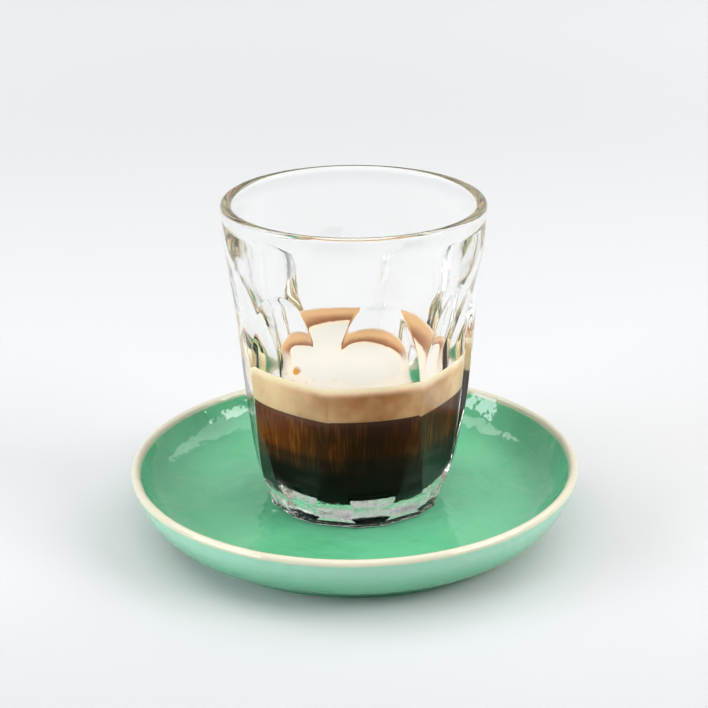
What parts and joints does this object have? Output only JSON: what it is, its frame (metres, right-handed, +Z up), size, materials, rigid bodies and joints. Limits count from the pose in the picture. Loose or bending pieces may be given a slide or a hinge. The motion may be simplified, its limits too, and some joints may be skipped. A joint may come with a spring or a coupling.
{
  "type": "glass of layered coffee with milk foam on a saucer",
  "caption": "Short layered coffee, dark below with tan crema and white milk foam, in a thick fluted clear tumbler that stands on a round green saucer.",
  "frame": {"origin": "middle of the saucer's foot, on the surface that it stands on", "axes": "+Z up along the axis that the saucer and the tumbler share; -Y towards the viewer; +X to the viewer's right"},
  "size_m": [0.1262, 0.1262, 0.0946],
  "materials": {
    "saucer_glaze": "green gloss glaze with a cream lip",
    "clear_glass": "clear pressed glass",
    "coffee": "dark brown coffee, amber where light gets in",
    "crema": "tan crema with fine bubbles",
    "milk_foam": "white milk foam with fine bubbles"
  },
  "bodies": {
    "root": {"saucer": "saucer_glaze", "glass": "clear_glass", "coffee": "coffee", "crema": "crema", "milk_foam": "milk_foam"}
  },
  "joints": []
}
